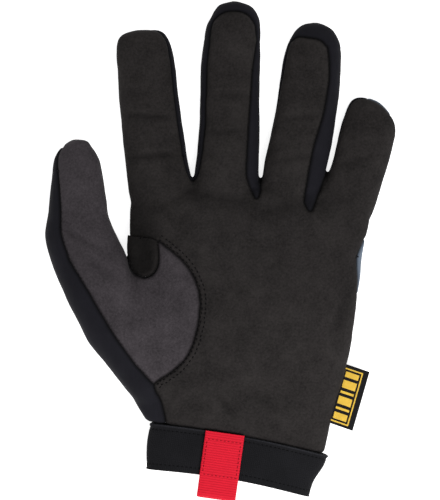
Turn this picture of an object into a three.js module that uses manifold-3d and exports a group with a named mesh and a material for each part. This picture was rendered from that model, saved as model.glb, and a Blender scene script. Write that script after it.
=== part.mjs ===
// Mechanic glove for the left hand, lying on its back with the palm up and the fingers a little filled.
// Millimetres, +Z up, fingers towards +Y, thumb towards -X. The origin is the middle of the ground it covers.
import * as THREE from "three";
import { mergeVertices } from "three/addons/utils/BufferGeometryUtils.js";
import Module from "manifold-3d";

const wasm = await Module();
wasm.setup();

// Cloth
const wall = 1.6; // suede or stretch cloth with its lining
const seamGap = 0.3; // clearance between two pieces at a seam
const restFlat = 0.9; // how far the cloth flattens where it lies on the ground
const backSeamHeight = 4; // side seam between the back and what is above it
const fourchetteSeamHeight = 7; // lowest seam between the palm and a fourchette
const risingBackHeight = 11; // height to which the back comes up on the outer side of the hand

// Hand, measured from the middle of the wrist seam
const palmWidth = 114;
const palmLength = 123.5;
const palmDepth = 27;

// Digits: the root is a place in the palm, as shares of its width and length; lean is in degrees towards the thumb
const indexSize = { root: [-0.307, 0.857], lean: 7.4, length: 95.3, width: 30, depth: 17 };
const middleSize = { root: [-0.049, 0.857], lean: -2.4, length: 108.4, width: 30, depth: 17.5 };
const ringSize = { root: [0.208, 0.841], lean: -8.7, length: 101.1, width: 30.5, depth: 17 };
const littleSize = { root: [0.432, 0.817], lean: -12.5, length: 67.8, width: 28.5, depth: 15.5 };
const thumbSize = { root: [-0.432, 0.302], lean: 15.3, length: 113.3, width: 28.4, depth: 19.5 };

// Cuff, with its pull loop and the label in the side seam
const cuffWidth = 87;
const cuffHeight = 21;
const cuffDepth = 18;
const cuffWall = 2;
const cuffSlope = -10.5; // degrees that the wrist seam falls towards the little finger
const wristBulge = 2.2; // how far the middle of the wrist seam rises towards the palm
const loopWidth = 19;
const loopThickness = 1.2;
const loopReach = 9.5; // how far the loop hangs past the hem
const loopTuck = 9; // how far its end returns inside the cuff
const loopOffset = -8; // middle of the loop from the middle of the cuff
const loopTurn = 2.5; // degrees that the loop turns back from the slope of the cuff
const labelLength = 29;
const labelReach = 12;
const labelThickness = 1;
const labelHeight = 9;
const labelSeam = [0.067, 0.296]; // ends of the label on the side of the hand, as shares of palmLength
const labelRoot = 5; // how far the label's cutting outline starts inside the side of the hand

// How round the sections are: 2 is an ellipse, more is fuller at the corners
const digitFullness = 2.3;
const palmFullness = 2.5;
const cuffFullness = 3;
const digitSides = 16;
const palmSides = 24;

// Seams of the digits: where the backs start, and how far the fourchettes and backs reach, as shares of a length
const backRoot = 0.06;
const indexFourchetteTop = 1.05;
const middleSeamTop = 0.82;
const ringSeamTop = 0.885;
const littleFourchetteTop = 1.05;
const littleTipBinding = 0.9;
const fourchetteReach = 0.55; // half width of a fourchette's outline on each digit, as a share of the digit's width

// Outlines that cut pieces apart reach past the cloth: half width and end as shares of a digit's width and length
const outlineReach = 0.72;
const outlineEnd = 1.1;
const seamSpan = 1.5; // length of the wrist seam's cut, as a share of cuffWidth
const seamSteps = 12; // straight pieces in a curved seam
const panelSeamSteps = 16;
const sharpestMiter = 0.5;

// Sections of a digit from its root to its tip. along is a share of the length; sway and width are shares of the
// width; depth and lift (the height of its middle) are shares of the depth. seamLeft and seamRight say how far the
// palm seam lies from the middle, as shares of the half width; past 1 it lies beyond the outline, 0 means no seam.
const digitColumns = ["along", "sway", "width", "depth", "lift", "seamLeft", "seamRight"];

const indexRows = table(digitColumns, [
  [0.0, 0.0, 0.88, 0.86, 1.0, 1.3, 1.3],
  [0.17, -0.01, 1.06, 1.06, 1.06, 1.2, 1.0],
  [0.22, -0.015, 1.05, 1.05, 1.05, 1.2, 0.9],
  [0.32, -0.03, 1.02, 1.03, 1.03, 1.2, 0.88],
  [0.48, -0.03, 1.0, 1.0, 1.0, 1.2, 0.86],
  [0.63, -0.02, 0.98, 1.0, 1.0, 1.2, 0.86],
  [0.79, 0.0, 0.95, 0.97, 0.97, 1.2, 0.87],
  [0.89, 0.0, 0.91, 0.92, 0.95, 1.2, 0.9],
  [0.945, -0.005, 0.82, 0.8, 0.92, 1.2, 0.9],
  [0.975, -0.01, 0.7, 0.62, 0.9, 1.2, 0.86],
  [0.99, -0.01, 0.5, 0.4, 0.88, 1.2, 0.7],
]);

const middleRows = table(digitColumns, [
  [0.0, 0.0, 0.92, 0.86, 1.0, 1.3, 1.3],
  [0.15, -0.02, 1.08, 1.06, 1.06, 1.02, 0.74],
  [0.21, -0.02, 1.08, 1.05, 1.05, 0.87, 0.58],
  [0.28, -0.008, 1.035, 1.04, 1.04, 0.85, 0.58],
  [0.42, 0.0, 1.0, 1.0, 1.0, 0.82, 0.6],
  [0.55, -0.015, 0.985, 1.0, 1.0, 0.81, 0.67],
  [0.69, -0.03, 0.975, 0.98, 0.98, 0.8, 0.74],
  [0.82, -0.015, 0.935, 0.95, 0.96, 0.79, 0.84],
  [0.89, 0.0, 0.88, 0.86, 0.93, 0.84, 0.8],
  [0.93, 0.01, 0.78, 0.74, 0.9, 0.72, 0.62],
  [0.952, 0.01, 0.7, 0.64, 0.89, 0.35, 0.3],
  [0.975, 0.01, 0.54, 0.48, 0.88, 0, 0],
  [0.992, 0.0, 0.35, 0.28, 0.86, 0, 0],
]);

const ringRows = table(digitColumns, [
  [0.0, 0.0, 0.92, 0.86, 1.0, 1.3, 1.0],
  [0.13, 0.015, 1.03, 1.05, 1.05, 0.98, 0.38],
  [0.275, 0.0, 1.03, 1.04, 1.04, 0.97, 0.42],
  [0.38, 0.02, 1.03, 1.03, 1.03, 0.96, 0.42],
  [0.42, 0.03, 1.02, 1.02, 1.02, 0.96, 0.43],
  [0.57, 0.045, 1.0, 1.0, 1.0, 0.95, 0.55],
  [0.72, 0.03, 0.97, 0.98, 0.98, 0.93, 0.62],
  [0.82, 0.015, 0.93, 0.95, 0.96, 0.92, 0.58],
  [0.88, 0.015, 0.87, 0.87, 0.93, 0.93, 0.46],
  [0.915, 0.02, 0.79, 0.78, 0.91, 0.74, 0.2],
  [0.955, 0.02, 0.63, 0.56, 0.89, 0, 0],
  [0.985, 0.02, 0.4, 0.33, 0.87, 0, 0],
]);

const littleRows = table(digitColumns, [
  [0.0, -0.04, 0.9, 0.86, 1.05, 1.15, 1.3],
  [0.23, 0.015, 1.02, 1.04, 1.04, 0.97, 1.2],
  [0.46, 0.09, 0.96, 1.02, 1.02, 0.96, 1.2],
  [0.61, 0.115, 0.98, 1.0, 1.0, 0.95, 1.2],
  [0.76, 0.13, 0.965, 0.97, 0.98, 0.95, 1.2],
  [0.85, 0.12, 0.89, 0.88, 0.94, 0.95, 1.2],
  [0.92, 0.075, 0.74, 0.7, 0.91, 0.95, 1.05],
  [0.965, 0.03, 0.54, 0.5, 0.89, 0.9, 0.8],
  [0.99, 0.02, 0.32, 0.3, 0.87, 0.8, 0.6],
]);

const thumbRows = table(digitColumns, [
  [-0.13, 0.09, 0.69, 1.12, 1.12, 0, 0],
  [0.0, 0.022, 0.957, 1.32, 1.32, 0.066, 0],
  [0.17, -0.077, 1.315, 1.42, 1.42, 0.271, 0],
  [0.34, -0.212, 1.314, 1.4, 1.4, 0.342, 0],
  [0.5, -0.338, 1.238, 1.24, 1.24, 0.463, 1.06],
  [0.62, -0.385, 1.161, 1.08, 1.1, 0.466, 1.2],
  [0.72, -0.28, 1.03, 1.02, 1.04, 0.525, 1.2],
  [0.83, -0.175, 0.91, 0.96, 1.0, 0.65, 1.2],
  [0.89, -0.12, 0.84, 0.87, 0.96, 0.74, 1.2],
  [0.95, -0.1, 0.66, 0.66, 0.92, 0.8, 1.2],
  [0.985, -0.06, 0.42, 0.4, 0.9, 0.85, 1.2],
]);

// Sections of the hand from the wrist seam to the knuckles. along is a share of palmLength; left, right and the
// seams are shares of palmWidth from the middle of the wrist; depth is a share of palmDepth.
const palmColumns = ["along", "left", "right", "depth", "seamLeft", "seamRight"];
const palmRows = table(palmColumns, [
  [-0.12, -0.385, 0.36, 0.64, -0.3, 0.62],
  [0.03, -0.38, 0.393, 0.67, -0.3, 0.62],
  [0.15, -0.445, 0.423, 0.78, -0.324, 0.62],
  [0.225, -0.47, 0.448, 0.86, -0.359, 0.62],
  [0.27, -0.496, 0.462, 0.9, -0.37, 0.62],
  [0.39, -0.53, 0.488, 0.96, -0.37, 0.62],
  [0.51, -0.515, 0.505, 0.98, -0.375, 0.62],
  [0.565, -0.49, 0.512, 0.97, -0.385, 0.507],
  [0.63, -0.472, 0.524, 0.94, -0.385, 0.514],
  [0.72, -0.466, 0.535, 0.9, -0.4, 0.509],
  [0.79, -0.464, 0.55, 0.86, -0.56, 0.542],
  [0.86, -0.462, 0.565, 0.8, -0.56, 0.62],
  [0.945, -0.455, 0.57, 0.7, 0, 0],
  [0.99, -0.436, 0.53, 0.56, 0, 0],
  [1.015, -0.39, 0.45, 0.36, 0, 0],
]);

// Seam of the thumb panel across the palm, and the rim of the crotch pocket, as shares of palmWidth and palmLength.
const thumbPanelSeam = [[-0.359, 0.222], [-0.213, 0.335], [-0.161, 0.536], [-0.213, 0.679], [-0.346, 0.786]];
const gussetRim = [[-0.473, 0.738], [-0.45, 0.675], [-0.406, 0.64], [-0.359, 0.655], [-0.337, 0.706], [-0.346, 0.786]];
const gussetTop = [-0.473, 0.802];
const thumbUndersideSeam = [[-0.468, 0.738], [-0.41, 0.6], [-0.37, 0.4], [-0.359, 0.222], [-0.324, 0.15], [-0.3, 0.03]];

// Sections of the cuff from the wrist seam to the hem, across as shares of cuffWidth and down as shares of cuffHeight.
const cuffColumns = ["leftAcross", "leftDown", "rightAcross", "rightDown"];
const cuffRows = table(cuffColumns, [
  [-0.5, -0.25, 0.5, -0.25],
  [-0.5, 0.35, 0.49, 0.3],
  [-0.485, 0.75, 0.465, 0.62],
  [-0.47, 1.07, 0.46, 0.88],
]);

const palmSuede = new THREE.MeshStandardMaterial({ color: 0x26221f, roughness: 0.95, metalness: 0 });
const thumbSuede = new THREE.MeshStandardMaterial({ color: 0x3a3739, roughness: 0.95, metalness: 0 });
const blackStretch = new THREE.MeshStandardMaterial({ color: 0x1c1b21, roughness: 0.85, metalness: 0 });
const blueStretch = new THREE.MeshStandardMaterial({ color: 0x6e7d91, roughness: 0.85, metalness: 0 });
const cuffKnit = new THREE.MeshStandardMaterial({ color: 0x1b1b1e, roughness: 0.9, metalness: 0 });
const redWebbing = new THREE.MeshStandardMaterial({ color: 0xd71e32, roughness: 0.6, metalness: 0 });
const labelRibbon = new THREE.MeshStandardMaterial({ color: 0xe1b946, roughness: 0.55, metalness: 0 });

// Rows of numbers as objects with named columns.
function table(columns, rows) {
  return rows.map((row) => Object.fromEntries(columns.map((name, i) => [name, row[i]])));
}

// Place in the hand given by shares of its width and length.
function palmPoint([across, along]) {
  return new THREE.Vector2(across * palmWidth, along * palmLength);
}

// Place on a digit: along its axis from the root and across it.
function digitPoint(digit, along, across) {
  const lean = THREE.MathUtils.degToRad(digit.lean);
  const axis = new THREE.Vector2(-Math.sin(lean), Math.cos(lean));
  const side = new THREE.Vector2(axis.y, -axis.x);
  return palmPoint(digit.root).addScaledVector(axis, along).addScaledVector(side, across);
}

// Place on the cuff: across it and down from the wrist seam.
function cuffPoint(across, down) {
  const slope = THREE.MathUtils.degToRad(cuffSlope);
  const side = new THREE.Vector2(Math.cos(slope), Math.sin(slope));
  return side.multiplyScalar(across).add(new THREE.Vector2(Math.sin(slope), -Math.cos(slope)).multiplyScalar(down));
}

// A closed ring between two places on the ground plane, flattened at the level where it rests.
function ring(left, right, middleHeight, halfDepth, restLevel, sides, fullness) {
  const middle = left.clone().add(right).multiplyScalar(0.5);
  const half = right.clone().sub(left).multiplyScalar(0.5);
  const power = 2 / fullness;
  return Array.from({ length: sides }, (_, i) => {
    const angle = (2 * Math.PI * i) / sides;
    const across = Math.sign(Math.cos(angle)) * Math.abs(Math.cos(angle)) ** power;
    const up = Math.sign(Math.sin(angle)) * Math.abs(Math.sin(angle)) ** power;
    const place = middle.clone().addScaledVector(half, across);
    return new THREE.Vector3(place.x, place.y, Math.max(middleHeight + halfDepth * up, restLevel));
  });
}

// A closed solid through rings of equal count, with a fan over each end.
function loft(rings, startTip, endTip) {
  const sides = rings[0].length;
  const points = rings.flat().concat([startTip, endTip]);
  const start = points.length - 2;
  const end = points.length - 1;
  const faces = [];
  for (let i = 0; i < sides; i++) {
    const next = (i + 1) % sides;
    faces.push(start, i, next);
    for (let r = 0; r < rings.length - 1; r++) {
      const near = r * sides;
      const far = near + sides;
      faces.push(near + i, far + i, far + next, near + i, far + next, near + next);
    }
    const last = (rings.length - 1) * sides;
    faces.push(end, last + next, last + i);
  }
  const geometry = new THREE.BufferGeometry().setFromPoints(points);
  geometry.setIndex(faces);
  return solid(geometry);
}

function middleOf(points) {
  const sum = points.reduce((total, point) => total.add(point), new THREE.Vector3());
  return sum.divideScalar(points.length);
}

// A digit, or the hollow inside it when inset is the wall.
function digitSolid(digit, rows, inset) {
  const length = digit.length - inset;
  const rings = rows.map((row) => {
    const half = (row.width * (digit.width - 2 * inset)) / 2;
    const sway = row.sway * digit.width;
    const left = digitPoint(digit, row.along * length, sway - half);
    const right = digitPoint(digit, row.along * length, sway + half);
    const middleHeight = (row.lift * digit.depth) / 2 - restFlat;
    const halfDepth = (row.depth * (digit.depth - 2 * inset)) / 2;
    return ring(left, right, middleHeight, halfDepth, inset, digitSides, digitFullness);
  });
  const last = rows[rows.length - 1];
  const tip = digitPoint(digit, length, last.sway * digit.width);
  const tipHeight = (last.lift * digit.depth) / 2 - restFlat;
  return loft(rings, middleOf(rings[0]), new THREE.Vector3(tip.x, tip.y, tipHeight));
}

// The hand without its digits, or the hollow inside it.
function palmSolid(inset) {
  const rings = palmRows.map((row) => {
    const height = row.along * (palmLength - inset);
    const left = new THREE.Vector2(row.left * palmWidth + inset, height);
    const right = new THREE.Vector2(row.right * palmWidth - inset, height);
    const middleHeight = (row.depth * palmDepth) / 2 - restFlat;
    return ring(left, right, middleHeight, (row.depth * palmDepth) / 2 - inset, inset, palmSides, palmFullness);
  });
  return loft(rings, middleOf(rings[0]), middleOf(rings[rings.length - 1]));
}

// A geometry as a solid for cutting and joining.
function solid(geometry) {
  const plain = geometry.clone();
  plain.deleteAttribute("normal");
  plain.deleteAttribute("uv");
  const merged = mergeVertices(plain, 1e-3);
  return new wasm.Manifold(
    new wasm.Mesh({
      numProp: 3,
      vertProperties: new Float32Array(merged.attributes.position.array),
      triVerts: new Uint32Array(merged.index.array),
    }),
  );
}

// An outline on the ground plane moved outwards by a distance.
function grown(points, distance) {
  const ordered = THREE.ShapeUtils.area(points) > 0 ? points : [...points].reverse();
  const count = ordered.length;
  return ordered.map((point, i) => {
    const before = ordered[(i + count - 1) % count];
    const after = ordered[(i + 1) % count];
    const first = point.clone().sub(before).normalize();
    const second = after.clone().sub(point).normalize();
    const normal = new THREE.Vector2(first.y + second.y, -first.x - second.x).normalize();
    const stretch = Math.max(normal.x * first.y - normal.y * first.x, sharpestMiter);
    return point.clone().addScaledVector(normal, distance / stretch);
  });
}

// An upright block over an outline, between two heights, and its copy with a margin round it.
function block(points, low, high, margin) {
  const shape = new THREE.Shape(grown(points, margin));
  const geometry = new THREE.ExtrudeGeometry(shape, { depth: high - low + 2 * margin, bevelEnabled: false });
  return solid(geometry.translate(0, 0, low - margin));
}

// Outline of the part of a digit between its palm seams.
function seamOutline(digit, rows) {
  const seamed = rows.filter((row) => row.seamLeft > 0);
  const side = (row, share) =>
    digitPoint(digit, row.along * digit.length, row.sway * digit.width + (share * row.width * digit.width) / 2);
  const left = seamed.map((row) => side(row, -row.seamLeft));
  const right = seamed.map((row) => side(row, row.seamRight));
  const last = seamed[seamed.length - 1];
  const past = last.seamLeft > 1 && last.seamRight > 0.5 ? [digitPoint(digit, digit.length * 1.04, 0)] : [];
  return [...left, ...past, ...right.reverse()];
}

// Outline of a whole digit from a share of its length to past its tip.
function digitOutline(digit, from) {
  const reach = digit.width * outlineReach;
  const start = from * digit.length;
  const end = digit.length * outlineEnd;
  return [
    digitPoint(digit, start, -reach),
    digitPoint(digit, start, reach),
    digitPoint(digit, end, reach),
    digitPoint(digit, end, -reach),
  ];
}

// Outline of the ground between the middles of two neighbouring digits, each up to a share of its length.
function betweenOutline(first, firstTop, second, secondTop) {
  return [
    digitPoint(first, 0, 0),
    digitPoint(first, firstTop * first.length, 0),
    digitPoint(first, firstTop * first.length, first.width * fourchetteReach),
    digitPoint(second, secondTop * second.length, -second.width * fourchetteReach),
    digitPoint(second, secondTop * second.length, 0),
    digitPoint(second, 0, 0),
  ];
}

// Everything on the wrist side of the wrist seam.
function belowWrist() {
  const seam = Array.from({ length: seamSteps + 1 }, (_, i) => {
    const share = (seamSpan * i) / seamSteps - seamSpan / 2;
    return cuffPoint(share * cuffWidth, -wristBulge * Math.max(0, 1 - (2 * share) ** 2));
  });
  const reach = (seamSpan / 2) * cuffWidth;
  return [...seam, cuffPoint(reach, 2 * cuffHeight), cuffPoint(-reach, 2 * cuffHeight)];
}

function smooth(points, steps) {
  return new THREE.SplineCurve(points.map(palmPoint)).getPoints(steps);
}

const ground = -1;
const sky = 1.3 * palmDepth;
const wristOutline = belowWrist();

const gussetOutline = [...smooth(gussetRim, seamSteps), palmPoint(gussetTop)];

// The inner side of the thumb past its outline, from above the crotch to the tip.
function thumbInnerSide(share) {
  const crotch = palmPoint(gussetRim[0]);
  return thumbRows
    .filter((row) => row.seamRight > 0)
    .map((row) => {
      const half = (row.width * thumbSize.width) / 2;
      return digitPoint(thumbSize, row.along * thumbSize.length, row.sway * thumbSize.width + share(row) * half);
    })
    .filter((point) => point.y > crotch.y);
}

function thumbPanelOutline() {
  const left = thumbRows
    .filter((row) => row.seamLeft > 0)
    .map((row) => {
      const half = (row.width * thumbSize.width) / 2;
      return digitPoint(thumbSize, row.along * thumbSize.length, row.sway * thumbSize.width - row.seamLeft * half);
    });
  const tip = digitPoint(thumbSize, 1.05 * thumbSize.length, 0.1 * thumbSize.width);
  const right = thumbInnerSide((row) => row.seamRight).reverse();
  const insideGusset = palmPoint([-0.4, 0.7]);
  return [...left, tip, ...right, insideGusset, ...smooth(thumbPanelSeam, panelSeamSteps).reverse()];
}

function palmFaceOutline() {
  const rows = palmRows.filter((row) => row.seamRight > 0);
  const left = rows.map((row) => palmPoint([row.seamLeft, row.along]));
  const right = rows.map((row) => palmPoint([row.seamRight, row.along]));
  return [...left, ...right.reverse()];
}

// Where the back of the hand comes up round the outer side as far as the widest level.
function risingBackOutline() {
  const rows = palmRows.filter((row) => row.seamRight > 0 && row.seamRight < row.right);
  const outer = rows.map((row) => palmPoint([row.right + 0.1, row.along]));
  const inner = rows.map((row) => palmPoint([row.seamRight - 0.14, row.along]));
  return [...inner, ...outer.reverse()];
}

function thumbBackOutline() {
  const right = thumbInnerSide(() => 1.15).reverse();
  const beyondTip = digitPoint(thumbSize, outlineEnd * thumbSize.length, 0.6 * thumbSize.width);
  const underside = smooth(thumbUndersideSeam, seamSteps);
  const belowCuff = palmPoint([-0.3, -0.25]);
  const farLeft = palmPoint([-1, -0.25]);
  const besideTip = digitPoint(thumbSize, outlineEnd * thumbSize.length, -1.5 * thumbSize.width);
  return [beyondTip, ...right, ...underside, belowCuff, farLeft, besideTip];
}

const indexMiddleOutline = betweenOutline(indexSize, indexFourchetteTop, middleSize, middleSeamTop);
const middleRingOutline = betweenOutline(middleSize, middleSeamTop, ringSize, ringSeamTop);
const ringLittleOutline = betweenOutline(ringSize, ringSeamTop, littleSize, littleFourchetteTop);

const overBackSeam = (outline) => (margin) => block(outline, backSeamHeight, sky, margin);
const underBackSeam = (outline) => (margin) => block(outline, ground, backSeamHeight, margin);

function palmCell(margin) {
  const outlines = [
    palmFaceOutline(),
    seamOutline(indexSize, indexRows),
    seamOutline(middleSize, middleRows),
    seamOutline(ringSize, ringRows),
    seamOutline(littleSize, littleRows),
  ];
  const lowerNeighbours = [
    [indexMiddleOutline, fourchetteSeamHeight],
    [middleRingOutline, fourchetteSeamHeight],
    [ringLittleOutline, fourchetteSeamHeight],
    [risingBackOutline(), risingBackHeight],
    [digitOutline(littleSize, littleTipBinding), littleSize.depth / 2],
  ];
  const whole = outlines.map((outline) => overBackSeam(outline)(margin)).reduce((sum, next) => sum.add(next));
  return lowerNeighbours
    .map(([outline, height]) => block(outline, ground, height, -margin))
    .reduce((sum, next) => sum.subtract(next), whole);
}

function backCell(digit, root, tip) {
  return (margin) => {
    const under = underBackSeam(digitOutline(digit, root))(margin);
    return tip ? under.add(block(digitOutline(digit, tip), ground, sky, margin)) : under;
  };
}

const panels = [
  { name: "thumb_gusset", material: palmSuede, cell: overBackSeam(gussetOutline) },
  { name: "thumb_panel", material: thumbSuede, cell: overBackSeam(thumbPanelOutline()) },
  { name: "palm_panel", material: palmSuede, cell: palmCell },
  { name: "thumb_back", material: blackStretch, cell: (margin) => block(thumbBackOutline(), ground, sky, margin) },
  { name: "fourchette_index_middle", material: blackStretch, cell: overBackSeam(indexMiddleOutline) },
  { name: "fourchette_middle_ring", material: blackStretch, cell: overBackSeam(middleRingOutline) },
  { name: "fourchette_ring_little", material: blackStretch, cell: overBackSeam(ringLittleOutline) },
  { name: "index_back", material: blackStretch, cell: backCell(indexSize, backRoot) },
  { name: "middle_back", material: blackStretch, cell: backCell(middleSize, backRoot, middleSeamTop) },
  { name: "ring_back", material: blackStretch, cell: backCell(ringSize, backRoot, ringSeamTop) },
];

// The whole body of the glove, or its hollow.
function gloveSolid(inset) {
  return [
    digitSolid(indexSize, indexRows, inset),
    digitSolid(middleSize, middleRows, inset),
    digitSolid(ringSize, ringRows, inset),
    digitSolid(littleSize, littleRows, inset),
    digitSolid(thumbSize, thumbRows, inset),
  ].reduce((sum, next) => sum.add(next), palmSolid(inset));
}

function cuffSolid(inset) {
  const rings = cuffRows.map((row, i) => {
    const beyond = i === 0 ? -inset : i === cuffRows.length - 1 ? inset : 0;
    const left = cuffPoint(row.leftAcross * cuffWidth + inset, row.leftDown * cuffHeight + beyond);
    const right = cuffPoint(row.rightAcross * cuffWidth - inset, row.rightDown * cuffHeight + beyond);
    return ring(left, right, cuffDepth / 2 - restFlat, cuffDepth / 2 - inset, inset, palmSides, cuffFullness).reverse();
  });
  return loft(rings, middleOf(rings[0]), middleOf(rings[rings.length - 1]));
}

// The largest body of a cut piece, without the slivers that a seam leaves.
function mainBody(piece) {
  return piece.decompose().reduce((largest, body) => (body.volume() > largest.volume() ? body : largest));
}

function geometryOf(piece) {
  const { vertProperties, triVerts, numProp } = piece.getMesh();
  const points = new Float32Array((vertProperties.length / numProp) * 3);
  for (let i = 0; i < points.length / 3; i++) {
    points.set(vertProperties.subarray(i * numProp, i * numProp + 3), i * 3);
  }
  const geometry = new THREE.BufferGeometry();
  geometry.setAttribute("position", new THREE.BufferAttribute(points, 3));
  return geometry.setIndex(new THREE.BufferAttribute(new Uint32Array(triVerts), 1));
}

function mesh(name, material, piece) {
  const geometry = geometryOf(mainBody(solid(geometryOf(piece))));
  geometry.computeVertexNormals();
  const made = new THREE.Mesh(geometry, material);
  made.name = name;
  return made;
}

function cuff() {
  const band = cuffSolid(0).subtract(cuffSolid(cuffWall));
  return mesh("cuff", cuffKnit, band.intersect(block(wristOutline, ground, sky, 0)));
}

// Webbing that lies on the cuff, folds below the hem and returns inside.
function pullLoop() {
  const topLevel = cuffDepth - restFlat + seamGap;
  const between = cuffWall + 2.5 * seamGap;
  const foldRadius = between / 2;
  const drop = cuffHeight + loopReach - foldRadius - loopThickness;
  const shape = new THREE.Shape();
  shape.moveTo(-wristBulge, topLevel + loopThickness);
  shape.lineTo(-wristBulge, topLevel);
  shape.lineTo(drop, topLevel);
  shape.absarc(drop, topLevel - foldRadius, foldRadius, Math.PI / 2, -Math.PI / 2, true);
  shape.lineTo(cuffHeight - loopTuck, topLevel - between);
  shape.lineTo(cuffHeight - loopTuck, topLevel - between - loopThickness);
  shape.lineTo(drop, topLevel - between - loopThickness);
  shape.absarc(drop, topLevel - foldRadius, foldRadius + loopThickness, -Math.PI / 2, Math.PI / 2, false);
  const geometry = new THREE.ExtrudeGeometry(shape, { depth: loopWidth, bevelEnabled: false, curveSegments: 8 });
  geometry.translate(0, 0, -loopWidth / 2);
  const down = cuffPoint(0, 1);
  const side = cuffPoint(1, 0);
  const basis = new THREE.Matrix4().makeBasis(
    new THREE.Vector3(down.x, down.y, 0),
    new THREE.Vector3(0, 0, 1),
    new THREE.Vector3(-side.x, -side.y, 0),
  );
  geometry.applyMatrix4(basis);
  geometry.rotateZ(THREE.MathUtils.degToRad(loopTurn));
  const place = cuffPoint(loopOffset, 0);
  geometry.translate(place.x, place.y, 0);
  return mesh("pull_loop", redWebbing, solid(geometry));
}

// A flat tab that starts at the side of the hand.
function sideLabel() {
  const edge = labelSeam.map((along) => {
    const above = palmRows.findIndex((row) => row.along > along);
    const [low, high] = [palmRows[above - 1], palmRows[above]];
    const share = (along - low.along) / (high.along - low.along);
    return palmPoint([low.right + share * (high.right - low.right), along]);
  });
  const middle = edge[0].clone().add(edge[1]).multiplyScalar(0.5);
  const alongEdge = edge[1].clone().sub(edge[0]).normalize();
  const outwards = new THREE.Vector2(alongEdge.y, -alongEdge.x);
  const corner = (alongShare, reach) =>
    middle.clone().addScaledVector(alongEdge, alongShare * labelLength).addScaledVector(outwards, reach);
  const root = -labelRoot;
  const outline = [corner(-0.5, root), corner(-0.5, labelReach), corner(0.5, labelReach), corner(0.5, root)];
  const tab = block(outline, labelHeight, labelHeight + labelThickness, 0);
  return mesh("side_label", labelRibbon, tab.subtract(palmSolid(-seamGap)));
}

const glove = new THREE.Group();
let rest = gloveSolid(0).subtract(gloveSolid(wall)).subtract(block(wristOutline, ground, sky, seamGap));
for (const { name, material, cell } of panels) {
  glove.add(mesh(name, material, rest.intersect(cell(0))));
  rest = rest.subtract(cell(seamGap));
}
glove.add(mesh("hand_back", blueStretch, rest), cuff(), pullLoop(), sideLabel());

// The middle of the ground that the glove covers goes to the origin.
const extent = new THREE.Box3().setFromObject(glove);
const centre = extent.getCenter(new THREE.Vector3());
glove.position.set(-centre.x, -centre.y, 0);

export default glove;
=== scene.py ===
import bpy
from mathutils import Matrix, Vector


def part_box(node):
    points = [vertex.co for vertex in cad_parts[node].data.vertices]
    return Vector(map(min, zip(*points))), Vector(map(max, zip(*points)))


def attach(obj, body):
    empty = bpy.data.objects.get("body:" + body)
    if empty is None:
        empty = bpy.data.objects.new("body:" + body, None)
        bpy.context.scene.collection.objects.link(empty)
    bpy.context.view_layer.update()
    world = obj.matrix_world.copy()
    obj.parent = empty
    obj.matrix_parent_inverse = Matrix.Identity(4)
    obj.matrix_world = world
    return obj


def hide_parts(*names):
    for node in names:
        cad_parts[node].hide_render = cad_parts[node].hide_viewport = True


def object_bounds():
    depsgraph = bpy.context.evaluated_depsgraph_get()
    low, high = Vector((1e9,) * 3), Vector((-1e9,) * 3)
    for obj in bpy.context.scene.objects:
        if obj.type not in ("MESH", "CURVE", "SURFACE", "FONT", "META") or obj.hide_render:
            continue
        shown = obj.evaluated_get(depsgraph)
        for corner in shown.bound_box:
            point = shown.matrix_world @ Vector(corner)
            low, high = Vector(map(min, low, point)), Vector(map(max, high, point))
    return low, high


bl_info = {
    "name": "Mechanic Glove",
    "version": (1, 0, 0),
    "blender": (4, 5, 0),
    "location": "3D View > Sidebar > Glove",
    "description": "Dresses a work glove in suede, stretch cloth, webbing and thread",
    "category": "Object",
}

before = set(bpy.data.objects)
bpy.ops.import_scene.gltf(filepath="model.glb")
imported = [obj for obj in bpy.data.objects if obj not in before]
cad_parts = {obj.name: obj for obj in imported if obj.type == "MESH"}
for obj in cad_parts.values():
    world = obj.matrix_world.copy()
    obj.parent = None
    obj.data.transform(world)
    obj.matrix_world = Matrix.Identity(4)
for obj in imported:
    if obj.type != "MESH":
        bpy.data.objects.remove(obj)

import math

import bpy
import numpy as np
from bpy.props import FloatProperty, FloatVectorProperty, PointerProperty
from bpy.types import Operator, Panel, PropertyGroup
from mathutils import Vector, noise
from mathutils.bvhtree import BVHTree
from mathutils.kdtree import KDTree

MM = 0.001
LOW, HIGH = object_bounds()

# The middle of the wrist seam, from the thumb side and the loop end of the glove's box
WRIST = np.array([LOW[0] + 94.22 * MM, LOW[1] + 30.07 * MM])

# Size of the hand and its digits, in millimetres, as the cut pieces have them
PALM_WIDTH, PALM_LENGTH, PALM_DEPTH = 114.0, 123.5, 27.0
REST_FLAT = 0.9
CUFF_WIDTH, CUFF_HEIGHT, CUFF_DEPTH = 87.0, 21.0, 18.0
CUFF_SLOPE = math.radians(-10.5)
WRIST_BULGE = 2.2

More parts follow.
